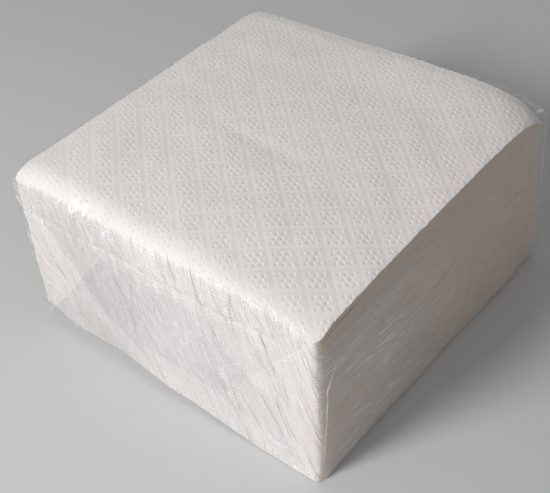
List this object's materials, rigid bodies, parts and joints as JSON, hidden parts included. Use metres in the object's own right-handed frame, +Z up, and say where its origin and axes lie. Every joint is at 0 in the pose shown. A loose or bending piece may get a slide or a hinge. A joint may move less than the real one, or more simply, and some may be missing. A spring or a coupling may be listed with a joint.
{
  "type": "wrapped pack of paper napkins",
  "caption": "Square stack of embossed white paper napkins, each folded in four, held in a clear film sleeve with folded ends and resting flat on its base.",
  "frame": {"origin": "On the ground under the middle of the pack's box.", "axes": "+Z up, the pack lying flat. -Y is the end where every napkin has its second fold, -X the side with the first fold; the cut edges are at +X and +Y. The film's folded ends are at -Y and +Y."},
  "size_m": [0.1222, 0.1248, 0.0634],
  "materials": {
    "napkin_paper": "soft two-ply tissue, embossed with diamonds and small dots",
    "clear_film": "clear glossy film, slightly wrinkled"
  },
  "bodies": {
    "root": {"napkin_01": "napkin_paper", "napkin_02": "napkin_paper", "napkin_03": "napkin_paper", "napkin_04": "napkin_paper", "napkin_05": "napkin_paper", "napkin_06": "napkin_paper", "napkin_07": "napkin_paper", "napkin_08": "napkin_paper", "napkin_09": "napkin_paper", "napkin_10": "napkin_paper", "napkin_11": "napkin_paper", "napkin_12": "napkin_paper", "napkin_13": "napkin_paper", "napkin_14": "napkin_paper", "napkin_15": "napkin_paper", "napkin_16": "napkin_paper", "napkin_17": "napkin_paper", "napkin_18": "napkin_paper", "napkin_19": "napkin_paper", "napkin_20": "napkin_paper", "napkin_21": "napkin_paper", "napkin_22": "napkin_paper", "napkin_23": "napkin_paper", "napkin_24": "napkin_paper", "napkin_25": "napkin_paper", "napkin_26": "napkin_paper", "napkin_27": "napkin_paper", "napkin_28": "napkin_paper", "napkin_29": "napkin_paper", "napkin_30": "napkin_paper", "napkin_31": "napkin_paper", "napkin_32": "napkin_paper", "napkin_33": "napkin_paper", "napkin_34": "napkin_paper", "napkin_35": "napkin_paper", "napkin_36": "napkin_paper", "napkin_37": "napkin_paper", "napkin_38": "napkin_paper", "napkin_39": "napkin_paper", "napkin_40": "napkin_paper", "napkin_41": "napkin_paper", "napkin_42": "napkin_paper", "napkin_43": "napkin_paper", "napkin_44": "napkin_paper", "napkin_45": "napkin_paper", "napkin_46": "napkin_paper", "napkin_47": "napkin_paper", "napkin_48": "napkin_paper", "napkin_49": "napkin_paper", "napkin_50": "napkin_paper", "film_wrap": "clear_film"}
  },
  "joints": []
}
